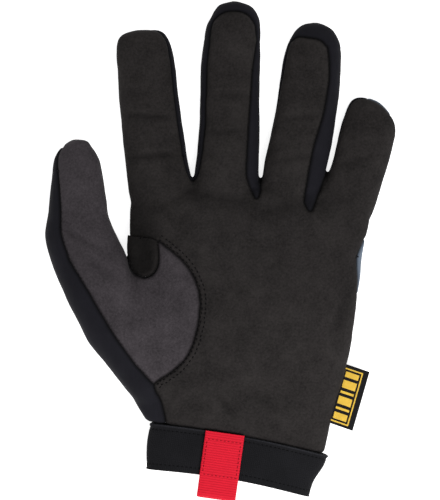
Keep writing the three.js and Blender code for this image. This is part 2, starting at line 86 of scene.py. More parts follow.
# Sections of a digit: places and heights are shares of its length, width and depth
SECTION = ("along", "sway", "width", "depth", "lift")
DIGITS = {
    "index": dict(root=(-0.307, 0.857), lean=7.4, length=95.3, width=30.0, depth=17.0, rows=(
        (0, 0, 0.88, 0.86, 1), (0.17, -0.01, 1.06, 1.06, 1.06), (0.32, -0.03, 1.02, 1.03, 1.03),
        (0.48, -0.03, 1, 1, 1), (0.63, -0.02, 0.98, 1, 1), (0.79, 0, 0.95, 0.97, 0.97),
        (0.89, 0, 0.91, 0.92, 0.95), (0.945, -0.005, 0.82, 0.8, 0.92), (0.975, -0.01, 0.7, 0.62, 0.9),
        (0.99, -0.01, 0.5, 0.4, 0.88), (1, -0.01, 0.1, 0.1, 0.88))),
    "middle": dict(root=(-0.049, 0.857), lean=-2.4, length=108.4, width=30.0, depth=17.5, rows=(
        (0, 0, 0.92, 0.86, 1), (0.15, -0.028, 1.075, 1.06, 1.06), (0.28, -0.016, 1.031, 1.04, 1.04),
        (0.42, -0.008, 0.996, 1, 1), (0.55, -0.023, 0.981, 1, 1), (0.69, -0.038, 0.971, 0.98, 0.98),
        (0.82, -0.023, 0.93, 0.95, 0.96), (0.89, -0.008, 0.877, 0.86, 0.93), (0.93, 0.01, 0.78, 0.74, 0.9),
        (0.96, 0.01, 0.66, 0.58, 0.88), (0.985, 0, 0.45, 0.37, 0.87), (1, 0, 0.08, 0.08, 0.86))),
    "ring": dict(root=(0.208, 0.841), lean=-8.7, length=101.1, width=30.5, depth=17.0, rows=(
        (0, 0, 0.92, 0.86, 1), (0.13, 0.018, 1.021, 1.05, 1.05), (0.275, 0, 1.015, 1.04, 1.04),
        (0.42, 0.03, 1.004, 1.02, 1.02), (0.57, 0.045, 0.985, 1, 1), (0.72, 0.033, 0.961, 0.98, 0.98),
        (0.82, 0.018, 0.922, 0.95, 0.96), (0.88, 0.018, 0.862, 0.87, 0.93), (0.92, 0.023, 0.772, 0.76, 0.91),
        (0.955, 0.02, 0.63, 0.56, 0.89), (0.985, 0.02, 0.4, 0.33, 0.87), (1, 0.02, 0.08, 0.08, 0.86))),
    "little": dict(root=(0.432, 0.817), lean=-12.5, length=67.8, width=28.5, depth=15.5, rows=(
        (0, -0.04, 0.9, 0.86, 1.05), (0.23, 0.015, 1.02, 1.04, 1.04), (0.46, 0.102, 0.936, 1.02, 1.02),
        (0.61, 0.126, 0.958, 1, 1), (0.76, 0.13, 0.965, 0.97, 0.98), (0.85, 0.12, 0.89, 0.88, 0.94),
        (0.92, 0.075, 0.74, 0.7, 0.91), (0.965, 0.03, 0.54, 0.5, 0.89), (0.99, 0.02, 0.32, 0.3, 0.87),
        (1, 0.015, 0.08, 0.08, 0.86))),
    "thumb": dict(root=(-0.432, 0.302), lean=15.3, length=113.3, width=28.4, depth=19.5, rows=(
        (-0.25, 0.12, 0.35, 0.6, 0.6), (-0.13, 0.09, 0.69, 1.12, 1.12), (0, 0.022, 0.957, 1.32, 1.32),
        (0.17, -0.077, 1.315, 1.42, 1.42), (0.34, -0.212, 1.314, 1.4, 1.4), (0.5, -0.338, 1.238, 1.24, 1.24),
        (0.62, -0.385, 1.161, 1.08, 1.1), (0.72, -0.28, 1.03, 1.02, 1.04), (0.83, -0.175, 0.91, 0.96, 1),
        (0.89, -0.12, 0.84, 0.87, 0.96), (0.95, -0.1, 0.66, 0.66, 0.92), (0.985, -0.06, 0.42, 0.4, 0.9),
        (1, -0.06, 0.08, 0.08, 0.88))),
}
DIGIT_FULLNESS, PALM_FULLNESS, CUFF_FULLNESS = 2.3, 2.5, 3.0

# Sections of the hand: along is a share of its length, left and right of its width, depth of its depth
PALM_SECTION = ("along", "left", "right", "depth")
PALM_ROWS = (
    (-0.12, -0.385, 0.36, 0.64), (0.03, -0.38, 0.393, 0.67), (0.15, -0.445, 0.423, 0.78),
    (0.27, -0.496, 0.462, 0.9), (0.39, -0.53, 0.488, 0.96), (0.51, -0.515, 0.505, 0.98),
    (0.63, -0.472, 0.524, 0.94), (0.72, -0.466, 0.535, 0.9), (0.79, -0.464, 0.55, 0.86),
    (0.86, -0.462, 0.565, 0.8), (0.945, -0.455, 0.57, 0.7), (0.99, -0.436, 0.53, 0.56),
    (1.015, -0.39, 0.45, 0.36), (1.02, -0.3, 0.35, 0.1),
)

# Sections of the cuff from the wrist seam to the hem, as shares of its width and height
CUFF_SECTION = ("left_across", "left_down", "right_across", "right_down")
CUFF_ROWS = (
    (-0.5, 0, 0.522, 0), (-0.503, 0.35, 0.51, 0.27), (-0.495, 0.75, 0.472, 0.66), (-0.48, 1.07, 0.462, 1.02),
)

# Cloth panels and the material of each
PANELS = {
    "palm_panel": "palm_suede", "thumb_panel": "thumb_suede", "thumb_gusset": "palm_suede",
    "thumb_back": "black_stretch", "fourchette_index_middle": "black_stretch",
    "fourchette_middle_ring": "black_stretch", "fourchette_ring_little": "black_stretch",
    "index_back": "black_stretch", "middle_back": "black_stretch", "ring_back": "black_stretch",
    "hand_back": "blue_stretch",
}

# Creases pressed into the palm side. Places are pixels of the 440 x 500 photograph; turn is degrees from level
# and the rest are millimetres.
CREASE = ("x", "y", "turn", "half_length", "depth", "width")
CREASES = (
    (150, 117, -4, 11, 0.66, 1.6), (155, 156, 3, 12, 0.76, 1.8), (229, 96, 0, 9, 0.47, 1.8),
    (229, 132, 2, 10, 0.42, 1.8), (302, 118, 6, 9, 0.47, 1.8), (295, 158, 8, 10, 0.47, 2.0),
    (356, 160, 12, 9, 0.47, 2.0), (84, 240, -30, 9, 0.52, 2.2), (104, 268, -38, 10, 0.45, 2.6),
    (224, 402, -48, 8, 0.60, 2.2), (170, 398, 62, 9, 0.45, 2.2), (262, 398, -40, 9, 0.45, 2.4),
    (212, 195, -12, 22, 0.52, 3.4), (300, 205, 8, 20, 0.52, 3.4), (345, 300, 70, 20, 0.45, 3.5),
)
# The pocket beside the thumb: its middle in the photograph, half sizes and depth in millimetres
POCKET = dict(x=143, y=264, half_width=5.5, half_length=5.5, depth=3.2)

# The photograph: millimetres in a pixel, and places in pixels
PIXEL = 0.49
PHOTO_WRIST = (237.5, 438.0)
PHOTO_MIDDLE = (220, 250)
THUMB_HEEL = (142, 393)

# Smoothing: rounds for the whole skin, and for the heel of the thumb with its reach in millimetres
SKIN_ROUNDS, FIELD_ROUNDS, SEAM_ROUNDS, SIDE_ROUNDS, PATH_ROUNDS = 5, 8, 14, 2, 4
HEEL_ROUNDS, HEEL_REACH = 40, 7.0

# Above this height, in millimetres, the back meets the fingertips without a seam to see
FINGERTIP_BACK = 5.0

# How far from a cut piece the skin can belong to its panel, in millimetres, and the most triangles of a panel
PANEL_REACH, MOST_TRIANGLES = 5.0, 190000

# Steps between two rows of a table, and points round a section
ROW_STEPS, DIGIT_SIDES, PALM_SIDES, CUFF_STEPS, CUFF_SIDES = 6, 48, 72, 20, 192

# Cloth beside a seam: a wider, shallower dip. Cloth beside a crease: a low ridge at both sides
SKIRT_DEPTH, SKIRT_WIDTH = 0.45, 3.0
RIDGE_HEIGHT, RIDGE_PLACE = 0.45, 2.0

# Waves: spacing of the long and the short ones in metres, share of the short ones, and calm beside seams
LONG_WAVE, SHORT_WAVE, SHORT_SHARE = 0.013, 0.0045, 0.35
CALM, CALM_WIDTH = 0.6, 3.0

# Painted shade kept in the attribute "seam": 1 is full shade, which darkens the colour in the creases, the
# pocket beside the thumb and on the low sides of black cloth; the painted highlight along the cuff's welt is
# light, below zero
FOLD_SHADE = 0.5
POCKET_SHADE, POCKET_WIDER, POCKET_LONGER = 0.75, 1.5, 3.0
LOW_SHADE, LOW_HEIGHT, LOW_TILT = 0.85, 5.5, -0.2
WELT_HIGHLIGHT, WELT_HIGHLIGHT_PLACE, WELT_HIGHLIGHT_WIDTH = -3.0, 0.6, 0.35

# A hair's breadth in millimetres, by which cloth clears the ground and sewn yarn sits in or on its cloth;
# and the least length that a direction is worked out from
HAIR, TINY = 0.05, 1e-9

looks = {}


def place(x, y):
    """A pixel of the photograph as a place on the ground, in metres."""
    return WRIST + np.array([x - PHOTO_WRIST[0], PHOTO_WRIST[1] - y]) * PIXEL * MM


def columns(names, rows):
    """A table of rows as one array for each named column."""
    return {name: np.array([row[i] for row in rows], dtype=float) for i, name in enumerate(names)}


def fair(table, key, steps):
    """The table with rows added between its rows on smooth curves through them."""
    x = table[key]
    fine = np.concatenate([np.linspace(a, b, steps, endpoint=False) for a, b in zip(x[:-1], x[1:])] + [x[-1:]])
    result = {}
    for name, y in table.items():
        chord = np.diff(y) / np.diff(x)
        slope = np.concatenate([chord[:1], (chord[:-1] + chord[1:]) / 2, chord[-1:]])
        flat = np.concatenate([[False], chord[:-1] * chord[1:] <= 0, [False]])
        slope[flat] = 0
        i = np.clip(np.searchsorted(x, fine, side="right") - 1, 0, len(x) - 2)
        h = x[i + 1] - x[i]
        t = (fine - x[i]) / h
        result[name] = ((2 * t**3 - 3 * t**2 + 1) * y[i] + (t**3 - 2 * t**2 + t) * h * slope[i]
                        + (3 * t**2 - 2 * t**3) * y[i + 1] + (t**3 - t**2) * h * slope[i + 1])
    return result


def bell(x, width):
    """A smooth bump that is 1 at zero and falls away over a width."""
    return np.exp(-(x / width) ** 2)


def rounded(x, power):
    """A share with its sign kept, raised to a power."""
    return np.sign(x) * np.abs(x) ** power


def axes(angle):
    """The directions along and down from a line at an angle, on the ground."""
    return np.array([math.cos(angle), math.sin(angle)]), np.array([math.sin(angle), -math.cos(angle)])


CUFF_SIDE, CUFF_FALL = axes(CUFF_SLOPE)


def ring(left, right, middle, half, sides, fullness):
    """A closed section between two places on the ground, in millimetres."""
    angle = 2 * math.pi * np.arange(sides) / sides
    across, up = rounded(np.cos(angle), 2 / fullness), rounded(np.sin(angle), 2 / fullness)
    flat = (left + right) / 2 + across[:, None] * (right - left) / 2
    return np.column_stack([flat, np.maximum(middle + half * up, 0)])


def loft(rings, closed=True):
    """Points and faces through rings of equal count."""
    sides = len(rings[0])
    points = [p for r in rings for p in r]
    near = np.arange((len(rings) - 1) * sides).reshape(-1, sides)
    beside = np.roll(near, -1, axis=1)
    faces = np.stack([near, beside, beside + sides, near + sides], axis=-1).reshape(-1, 4).tolist()
    if closed:
        faces.append(tuple(range(sides))[::-1])
        faces.append(tuple(range((len(rings) - 1) * sides, len(rings) * sides)))
    return points, faces


def in_frame(points):
    """Points measured in millimetres from the wrist, as metres in the shared frame."""
    points = np.asarray(points, dtype=float) * MM
    points[:, :2] += WRIST
    return points


def new_object(name, points, faces, material=None):
    """A mesh object from points in metres and faces of any count."""
    mesh = bpy.data.meshes.new(name)
    mesh.from_pydata([tuple(p) for p in points], [], [tuple(int(i) for i in f) for f in faces])
    mesh.update()
    obj = bpy.data.objects.new(name, mesh)
    bpy.context.collection.objects.link(obj)
    if material:
        mesh.materials.append(material)
    return obj


def only(obj):
    """Makes obj the one selected and active object."""
    bpy.ops.object.select_all(action="DESELECT")
    obj.select_set(True)
    bpy.context.view_layer.objects.active = obj


def modify(obj, kind, **settings):
    """Adds a modifier to obj and applies it."""
    only(obj)
    modifier = obj.modifiers.new(kind.title(), kind)
    for name, value in settings.items():
        setattr(modifier, name, value)
    bpy.ops.object.modifier_apply(modifier=modifier.name)


def edit(obj, operator, **settings):
    """Runs an operator on the whole mesh in edit mode."""
    only(obj)
    bpy.ops.object.mode_set(mode="EDIT")
    bpy.ops.mesh.select_all(action="SELECT")
    operator(**settings)
    bpy.ops.object.mode_set(mode="OBJECT")


def outwards(obj):
    """Turns all faces outwards."""
    edit(obj, bpy.ops.mesh.normals_make_consistent, inside=False)


def finish_piece(obj, slot_name, *nodes, angle):
    """Shades a piece, rides it on the glove and hides the cut pieces that it stands for."""
    only(obj)
    bpy.ops.object.shade_smooth_by_angle(angle=math.radians(angle))
    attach(obj, "root")
    if nodes:
        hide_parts(*nodes)
    return obj


def make_piece(name, points, faces, material, slot_name, *nodes, angle, **marks):
    """A closed piece in its material, with numbers or vectors kept for its points."""
    piece = new_object(name, points, faces, material_of(material))
    for key, values in marks.items():
        mark_points(piece.data, key, values)
    edit(piece, bpy.ops.mesh.delete_loose)
    outwards(piece)
    return finish_piece(piece, slot_name, *nodes, angle=angle)


def read(items, key, width=1, kind=float):
    """One property of all items, as an array."""
    values = np.empty(len(items) * width, dtype=kind)
    items.foreach_get(key, values)
    return values.reshape(-1, width) if width > 1 else values


def coordinates(mesh):
    """The place of each vertex."""
    return read(mesh.vertices, "co", 3)


def set_coordinates(mesh, points):
    """Moves each vertex to its new place."""
    mesh.vertices.foreach_set("co", np.ascontiguousarray(points, dtype=float).ravel())
    mesh.update()


def normals_of(mesh):
    """The direction out of the surface at each vertex."""
    return read(mesh.vertex_normals, "vector", 3)


def edges_of(mesh):
    """The two ends of each edge."""
    return read(mesh.edges, "vertices", 2, np.int32)


def mark_points(mesh, name, values):
    """Keeps a number or a vector for each vertex, under a name that materials read."""
    kind, key = ("FLOAT", "value") if values.ndim == 1 else ("FLOAT_VECTOR", "vector")
    mesh.attributes.new(name, kind, "POINT").data.foreach_set(key, values.astype(np.float32).ravel())


def surface(mesh):
    """A mesh as a tree for finding the nearest place on it."""
    return BVHTree.FromPolygons([v.co for v in mesh.vertices], [p.vertices for p in mesh.polygons])


def relax(values, edges, rounds, factor=0.5):
    """Moves each vertex's values towards the mean of its neighbours'."""
    values = np.array(values, dtype=float)
    count = np.bincount(edges.ravel(), minlength=len(values))
    share = factor * (count > 0)
    for _ in range(rounds):
        for c in range(values.shape[1]):
            total = np.bincount(edges[:, 0], weights=values[edges[:, 1], c], minlength=len(values))
            total += np.bincount(edges[:, 1], weights=values[edges[:, 0], c], minlength=len(values))
            values[:, c] += share * (total / np.maximum(count, 1) - values[:, c])
    return values


def digit_rings(digit, steps, sides):
    """The sections of a digit from its root to its tip."""
    table = fair(columns(SECTION, digit["rows"]), "along", steps)
    side, fall = axes(math.radians(digit["lean"]))
    root = np.array(digit["root"]) * (PALM_WIDTH, PALM_LENGTH)
    rings = []
    for i in range(len(table["along"])):
        middle = root - fall * table["along"][i] * digit["length"] + side * table["sway"][i] * digit["width"]
        reach = side * table["width"][i] * digit["width"] / 2
        height = table["lift"][i] * digit["depth"] / 2 - REST_FLAT
        half = table["depth"][i] * digit["depth"] / 2
        rings.append(ring(middle - reach, middle + reach, height, half, sides, DIGIT_FULLNESS)[::-1])
    return rings


def palm_rings(steps, sides):
    """The sections of the hand from the wrist to the knuckles."""
    table = fair(columns(PALM_SECTION, PALM_ROWS), "along", steps)
    rings = []
    for i in range(len(table["along"])):
        height = table["along"][i] * PALM_LENGTH
        left = np.array([table["left"][i] * PALM_WIDTH, height])
        right = np.array([table["right"][i] * PALM_WIDTH, height])
        half = table["depth"][i] * PALM_DEPTH / 2
        rings.append(ring(left, right, half - REST_FLAT, half, sides, PALM_FULLNESS)[::-1])
    return rings


def cuff_point(across, down):
    """A place on the cuff, in millimetres from the middle of the wrist seam."""
    return np.multiply.outer(across, CUFF_SIDE) + np.multiply.outer(down, CUFF_FALL)


def wrist_rise(across):
    """How far the wrist seam rises above a straight line, across the cuff."""
    return WRIST_BULGE * np.maximum(0, 1 - (2 * across / CUFF_WIDTH) ** 2)


def below_wrist(points):
    """How far points in the frame lie below the wrist seam, in metres."""
    flat = points[:, :2] - WRIST
    return flat @ CUFF_FALL + wrist_rise(flat @ CUFF_SIDE / MM) * MM


# Materials

def node_group(name):
    """A node group by its name, made on first use."""
    group = bpy.data.node_groups.get(name)
    if group:
        return group
    build, inputs, outputs = GROUPS[name]
    group = bpy.data.node_groups.new(name, "ShaderNodeTree")
    for way, labels in (("INPUT", inputs), ("OUTPUT", outputs)):
        for label in labels:
            kind = "NodeSocketColor" if label == "Color" else "NodeSocketFloat"
            socket = group.interface.new_socket(label, in_out=way, socket_type=kind)
            if way == "INPUT":
                socket.default_value = inputs[label]
    source, out = group.nodes.new("NodeGroupInput"), group.nodes.new("NodeGroupOutput")
    wire(group, out, build(group, source.outputs))
    return group


def wire(tree, node, inputs):
    """Links a node's inputs, by name or number, or sets them."""
    for key, value in inputs.items():
        if isinstance(value, bpy.types.NodeSocket):
            tree.links.new(value, node.inputs[key])
        else:
            node.inputs[key].default_value = value


def add_node(tree, kind, inputs=None, **settings):
    """Adds a node; settings go to its own properties, and inputs to its inputs."""
    node = tree.nodes.new(kind)
    for key, value in settings.items():
        setattr(node, key, value)
    wire(tree, node, inputs or {})
    return node


def object_place(tree):
    """The place of the shaded point on its object."""
    return add_node(tree, "ShaderNodeTexCoord").outputs["Object"]


def noise_at(tree, vector, scale, detail, rough):
    """Soft noise at a place."""
    inputs = {"Vector": vector, "Scale": scale, "Detail": detail, "Roughness": rough}
    return add_node(tree, "ShaderNodeTexNoise", inputs).outputs["Fac"]


def spread(tree, value, low, high, to_low, to_high):
    """A value moved from one span to another."""
    inputs = {"Value": value, "From Min": low, "From Max": high, "To Min": to_low, "To Max": to_high}
    return add_node(tree, "ShaderNodeMapRange", inputs).outputs["Result"]


def calc(tree, operation, a, b=0.0):
    """One operation on one or two values."""
    return add_node(tree, "ShaderNodeMath", {0: a, 1: b}, operation=operation).outputs[0]


def add(tree, first, *others):
    """The sum of the values."""
    for other in others:
        first = calc(tree, "ADD", first, other)
    return first


def times(tree, a, b):
    """The product of two values."""
    return calc(tree, "MULTIPLY", a, b)


def wave_of(tree, value, pitch):
    """A sine wave that repeats at a pitch."""
    return calc(tree, "SINE", times(tree, value, 2 * math.pi / pitch))


def strip_parts(tree):
    """The place along and across a strip, and the strip's own vector."""
    strip = add_node(tree, "ShaderNodeAttribute", attribute_name="strip").outputs["Vector"]
    parts = add_node(tree, "ShaderNodeSeparateXYZ", {"Vector": strip}).outputs
    return parts["X"], parts["Y"], strip


def nap(tree, given):
    """Suede: mottled shade and the height of its short nap."""
    at = object_place(tree)
    clouds = noise_at(tree, at, 90, 4, 0.6)
    flecks = noise_at(tree, at, 900, 3, 0.65)
    fibres = noise_at(tree, at, 2600, 2, 0.7)
    shade = add(tree, spread(tree, clouds, 0.3, 0.7, -0.35, 0.35),
                times(tree, spread(tree, flecks, 0.3, 0.7, -0.5, 0.5), given["Fleck"]),
                spread(tree, fibres, 0.25, 0.75, -0.25, 0.25))
    return {"Shade": shade, "Height": add(tree, times(tree, fibres, 0.5), times(tree, flecks, 0.7))}


def knit(tree, given):
    """Fine knit: columns of loops across the given pitch, with uneven yarn."""
    at = object_place(tree)
    turned = add_node(tree, "ShaderNodeVectorRotate", {"Vector": at, "Angle": given["Turn"]},
                      rotation_type="Z_AXIS").outputs["Vector"]
    parts = add_node(tree, "ShaderNodeSeparateXYZ", {"Vector": turned}).outputs
    cycle = calc(tree, "DIVIDE", 2 * math.pi, given["Pitch"])
    across = times(tree, parts["X"], cycle)
    slant = calc(tree, "ABSOLUTE", calc(tree, "SINE", times(tree, across, 0.5)))
    wales = calc(tree, "SINE", across)
    courses = calc(tree, "SINE", add(tree, times(tree, parts["Y"], cycle), times(tree, slant, 2.0)))
    rows = times(tree, spread(tree, wales, -1, 1, 0, 1), spread(tree, courses, -1, 1, 0.35, 1))
    yarn = noise_at(tree, at, 2200, 2, 0.6)
    clouds = noise_at(tree, at, 70, 3, 0.55)
    shade = add(tree, spread(tree, clouds, 0.3, 0.7, -0.3, 0.3), spread(tree, yarn, 0.25, 0.75, -0.3, 0.3),
                spread(tree, rows, 0, 1, -0.25, 0.25))
    return {"Shade": shade, "Height": add(tree, rows, times(tree, yarn, 0.6))}


def tone(tree, given):
    """A colour lightened and darkened by a shade from -1 to 1, and darkened by the painted shade kept in the
    attribute "seam"; where that is below zero it holds a painted highlight, which lightens the colour.
    """
    seam = add_node(tree, "ShaderNodeAttribute", attribute_name="seam").outputs["Fac"]
    gain = add(tree, 1.0, times(tree, given["Shade"], given["Contrast"]))
    gain = times(tree, gain, calc(tree, "SUBTRACT", 1.0, times(tree, seam, given["Seam"])))
    inputs = {0: given["Color"], "Scale": gain}
    return {"Color": add_node(tree, "ShaderNodeVectorMath", inputs, operation="SCALE").outputs["Vector"]}


def twist(tree):
    """Twisted thread."""
    yarn = noise_at(tree, object_place(tree), 3000, 2, 0.6)
    return spread(tree, yarn, 0.25, 0.75, -1, 1), yarn


def webbing(tree):
    """Ribbed webbing: colour lies deeper between its ribs, which run along the strip's first coordinate."""
    along, across, strip = strip_parts(tree)
    ribs, warps = wave_of(tree, across, 0.00115), wave_of(tree, along, 0.0009)
    yarn = noise_at(tree, strip, 1800, 2, 0.6)
    clouds = noise_at(tree, strip, 120, 3, 0.5)
    shade = add(tree, spread(tree, ribs, -1, 1, -0.55, 0.35), spread(tree, yarn, 0.25, 0.75, -0.3, 0.3),
                spread(tree, clouds, 0.3, 0.7, -0.25, 0.25))
    height = add(tree, ribs, times(tree, times(tree, ribs, warps), 0.35), times(tree, yarn, 0.5))
    return shade, height


def ribbon(tree):
    """Closely woven ribbon with fine crossed yarns."""
    along, across, strip = strip_parts(tree)
    weave = times(tree, wave_of(tree, along, 0.00035), wave_of(tree, across, 0.00035))
    clouds = noise_at(tree, strip, 260, 3, 0.55)
    shade = add(tree, spread(tree, weave, -1, 1, -0.6, 0.4), spread(tree, clouds, 0.3, 0.7, -0.4, 0.4))
    return shade, weave


def grain(tree):
    """The faint grain of the floor, with no height."""
    return spread(tree, noise_at(tree, object_place(tree), 40, 3, 0.5), 0.3, 0.7, -1, 1), None


# Node groups: what builds each, its inputs with their defaults, and its outputs
GROUPS = {
    "Suede nap": (nap, {"Fleck": 1.0}, ("Shade", "Height")),
    "Fine knit": (knit, {"Pitch": 0.0007, "Turn": 0.0}, ("Shade", "Height")),
    "Cloth tone": (tone, {"Color": (0.5, 0.5, 0.5, 1), "Shade": 0.0, "Contrast": 0.3, "Seam": 0.5}, ("Color",)),
}
# How strongly the painted shade in the attribute "seam" darkens the colour
PAINTED_SHADE_TONE = 0.85

# Materials: the colour in the panel, the pattern, the values of its group and the look, with depth in metres
LOOK = ("color", "pattern", "values", "contrast", "roughness", "specular", "sheen", "bump", "depth")
MATERIALS = {
    "palm_suede": ("palm", "Suede nap", {"Fleck": 0.8}, 0.75, 0.95, 0.12, 0.03, 0.45, 0.0004),
    "thumb_suede": ("thumb", "Suede nap", {"Fleck": 0.9}, 0.6, 0.95, 0.12, 0.04, 0.5, 0.0004),
    "black_stretch": ("stretch", "Fine knit", {"Pitch": 0.0006}, 0.5, 0.85, 0.12, 0.02, 0.35, 0.0003),
    "blue_stretch": ("back", "Fine knit", {"Pitch": 0.0007}, 0.25, 0.8, 0.12, 0.03, 0.4, 0.0003),
    "cuff_knit": ("cuff", "Fine knit", {"Pitch": 0.001, "Turn": CUFF_SLOPE}, 0.5, 0.9, 0.12, 0.02, 0.45,
                  0.0004),
    "red_webbing": ("webbing", webbing, None, 0.16, 0.7, 0.15, 0, 0.35, 0.0002),
    "label_ribbon": ("label", ribbon, None, 0.22, 0.65, 0.15, 0, 0.4, 0.0001),
    "label_ground": ("label_ground", ribbon, None, 0.22, 0.65, 0.15, 0, 0.4, 0.0001),
    "thread": ("thread", twist, None, 0.3, 0.8, 0.1, 0, 0.4, 0.0002),
    "red_thread": ("webbing", twist, None, 0.3, 0.8, 0.1, 0, 0.4, 0.0002),
    "floor": ("floor", grain, None, 0.005, 0.9, 0.5, 0, 0, 0),
}
# How much of its colour a material keeps, and how much light it gives
DIMMED = {"red_thread": 0.6}
GLOWING = {"floor": 0.8}
SHEEN_ROUGHNESS = 0.3


def linear(color):
    """A colour as seen on screen, as the light that makes it."""
    return tuple(c / 12.92 if c <= 0.04045 else ((c + 0.055) / 1.055) ** 2.4 for c in color[:3]) + (1.0,)


def material_of(slot_name):
    """The material of a slot, made on first use from the colours in the panel."""
    if slot_name in looks:
        return looks[slot_name]
    look = dict(zip(LOOK, MATERIALS[slot_name]))
    material = looks[slot_name] = bpy.data.materials.new(slot_name + "_detail")
    material.use_nodes = True
    tree = material.node_tree
    if look["values"]:
        detail = add_node(tree, "ShaderNodeGroup", look["values"], node_tree=node_group(look["pattern"]))
        shade, height = detail.outputs["Shade"], detail.outputs["Height"]
    else:
        shade, height = look["pattern"](tree)
    color = [DIMMED.get(slot_name, 1) * c for c in getattr(bpy.context.scene.glove_colors, look["color"])]
    inputs = {"Color": linear(color), "Shade": shade, "Contrast": look["contrast"], "Seam": PAINTED_SHADE_TONE}
    toned = add_node(tree, "ShaderNodeGroup", inputs, node_tree=node_group("Cloth tone"))
    inputs = {"Base Color": toned.outputs["Color"], "Roughness": look["roughness"],
              "Specular IOR Level": look["specular"], "Sheen Weight": look["sheen"],
              "Sheen Roughness": SHEEN_ROUGHNESS, "Emission Strength": GLOWING.get(slot_name, 0)}
    if height is not None:
        raised = {"Height": height, "Strength": look["bump"], "Distance": look["depth"]}
        inputs["Normal"] = add_node(tree, "ShaderNodeBump", raised).outputs["Normal"]
    wire(tree, next(n for n in tree.nodes if n.type == "BSDF_PRINCIPLED"), inputs)
    return material


# The cloth of the hand

def distances_to(node, points, reach):
    """Distance of each point to a cut piece, up to a reach."""
    tree = surface(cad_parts[node].data)
    low, high = (np.array(corner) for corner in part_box(node))
    near = np.all((points > low - reach) & (points < high + reach), axis=1)
    result = np.full(len(points), reach)
    for i in np.flatnonzero(near):
        found = tree.find_nearest(points[i], reach)
        if found[0] is not None:
            result[i] = found[3]
    return result


def make_skin(sizes):
    """The whole outer surface of the hand as one even mesh."""
    bpy.ops.object.select_all(action="DESELECT")
    parts = {"skin_" + name: digit_rings(digit, ROW_STEPS, DIGIT_SIDES) for name, digit in DIGITS.items()}
    for name, rings in {**parts, "skin": palm_rings(ROW_STEPS, PALM_SIDES)}.items():
        points, faces = loft(rings)
        skin = new_object(name, in_frame(points), faces)
        skin.select_set(True)
    bpy.context.view_layer.objects.active = skin
    bpy.ops.object.join()
    outwards(skin)
    modify(skin, "REMESH", mode="VOXEL", voxel_size=sizes.voxel, use_smooth_shade=True)
    edges = edges_of(skin.data)
    points = relax(coordinates(skin.data), edges, SKIN_ROUNDS)
    offset = (points[:, :2] - place(*THUMB_HEEL)) / (HEEL_REACH * MM)
    near = np.exp(-(offset ** 2).sum(axis=1))[:, None]
    set_coordinates(skin.data, points + (relax(points, edges, HEEL_ROUNDS) - points) * near)
    return skin


def face_corners(mesh):
    """For each corner of a face its vertex and its face, and for each face its number of corners."""
    totals = read(mesh.polygons, "loop_total", 1, np.int32)
    return read(mesh.loops, "vertex_index", 1, np.int32), np.repeat(np.arange(len(totals)), totals), totals


def edge_faces(mesh):
    """The two faces that share each edge."""
    order = np.argsort(read(mesh.loops, "edge_index", 1, np.int32), kind="stable")
    return face_corners(mesh)[1][order].reshape(-1, 2)


def label_faces(skin, names):
    """The number of the panel that each face belongs to; the last number is what the cuff covers."""
    mesh = skin.data
    points = coordinates(mesh)
    fields = np.column_stack([distances_to(name, points, PANEL_REACH * MM) for name in names])
    fields = np.column_stack([relax(fields, edges_of(mesh), FIELD_ROUNDS), below_wrist(points)])
    vertices, faces, totals = face_corners(mesh)
    on_faces = np.column_stack([np.bincount(faces, weights=field[vertices]) / totals for field in fields.T])
    return np.where(on_faces[:, -1] > 0, len(names), np.argmin(on_faces[:, :-1], axis=1))


def flat_seam(names, labels, pairs, heights):
    """The edges with no seam to see: between two panels of one cloth, and where the back meets a fingertip."""
    cloths = sorted(set(PANELS.values()))
    kinds = np.array([cloths.index(PANELS[name]) for name in names] + [-1])
    sides = kinds[labels[pairs]]
    stretch = np.isin(sides, [cloths.index("black_stretch"), cloths.index("blue_stretch")]).all(axis=1)
    return (sides[:, 0] == sides[:, 1]) | (stretch & (heights > FINGERTIP_BACK * MM))


def straighten_seams(skin, labels, names):
    """Smooths the lines between the panels and returns the distance of each vertex from them."""
    mesh = skin.data
    edges, pairs = edges_of(mesh), edge_faces(mesh)
    on_seam = labels[pairs[:, 0]] != labels[pairs[:, 1]]
    held = np.unique(edges[on_seam])
    points = relax(coordinates(mesh), edges[on_seam], SEAM_ROUNDS)
    kept = points[held].copy()
    for _ in range(SIDE_ROUNDS):
        points = relax(points, edges, 1)
        points[held] = kept
    set_coordinates(mesh, points)
    drawn_in = edges[on_seam & ~flat_seam(names, labels, pairs, points[edges].mean(axis=1)[:, 2])]
    marks = np.concatenate([points[np.unique(drawn_in)], points[drawn_in].mean(axis=1)])
    tree = KDTree(len(marks))
    for i, mark in enumerate(marks):
        tree.insert(mark, i)
    tree.balance()
    return np.array([tree.find(p)[2] for p in points])


def pocket_share(points, wider=1.0, longer=1.0):
    """How much of the pocket's depth, and of its painted shade, lies at each point, from 0 to 1."""
    offset = (points[:, :2] - place(POCKET["x"], POCKET["y"])) / MM
    across = offset[:, 0] / (POCKET["half_width"] * wider)
    along = offset[:, 1] / (POCKET["half_length"] * np.where(offset[:, 1] > 0, 2 * longer, 1))
    return np.exp(-(across ** 2 + along ** 2) ** 1.5)


